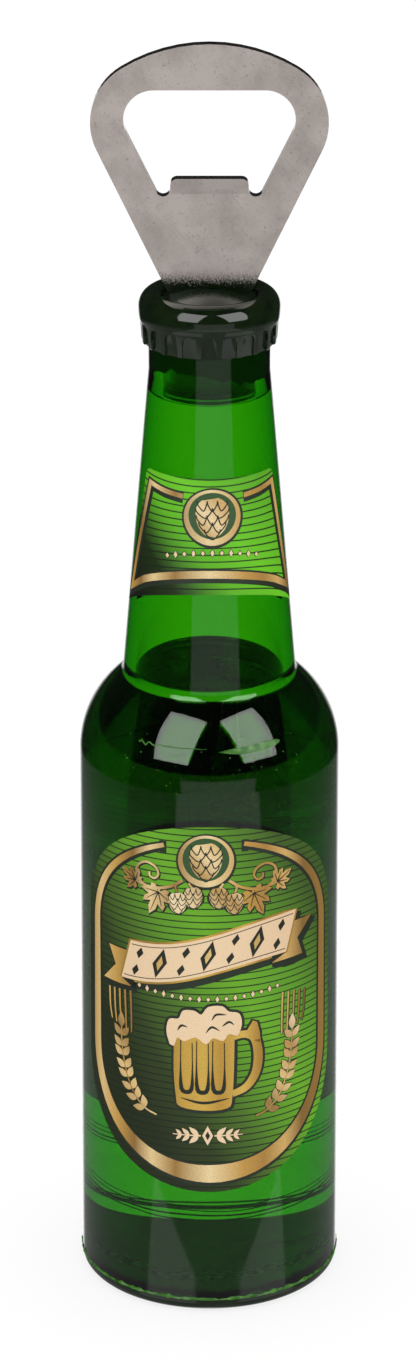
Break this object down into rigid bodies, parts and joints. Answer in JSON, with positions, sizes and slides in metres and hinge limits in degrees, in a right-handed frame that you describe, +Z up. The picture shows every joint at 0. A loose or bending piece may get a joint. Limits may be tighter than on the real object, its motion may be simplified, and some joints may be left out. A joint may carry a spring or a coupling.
{
  "type": "souvenir bottle opener",
  "caption": "Miniature sealed green beer bottle, filled with liquid, with a stamped steel cap-lifter plate standing out of its crown cap.",
  "frame": {"origin": "centre of the foot, on the surface that the bottle stands on", "axes": "+Z up along the bottle's axis; the front labels face -Y and the opener plate lies in the XZ plane, so +X is to a viewer's right"},
  "size_m": [0.0466, 0.0466, 0.2266],
  "materials": {
    "bottle_plastic": "clear green moulded plastic, polished",
    "fill_oil": "clear oil",
    "stopper_plastic": "clear green moulded plastic",
    "seal_rubber": "black rubber, satin",
    "resin": "dark green cast resin, glossy",
    "cap_plastic": "dark green moulded plastic, glossy",
    "plate_steel": "stamped and tumbled stainless steel, fine mottled",
    "label_print": "printed and varnished film"
  },
  "bodies": {
    "root": {"bottle_body": "bottle_plastic", "base_disc": "cap_plastic", "base_glue_bead": "bottle_plastic", "liquid_fill": "fill_oil", "neck_stopper": "stopper_plastic", "stopper_seal": "seal_rubber", "tang_resin": "resin", "crown_cap": "cap_plastic", "opener_plate": "plate_steel", "body_label": "label_print", "back_label": "label_print", "neck_label": "label_print"}
  },
  "joints": []
}
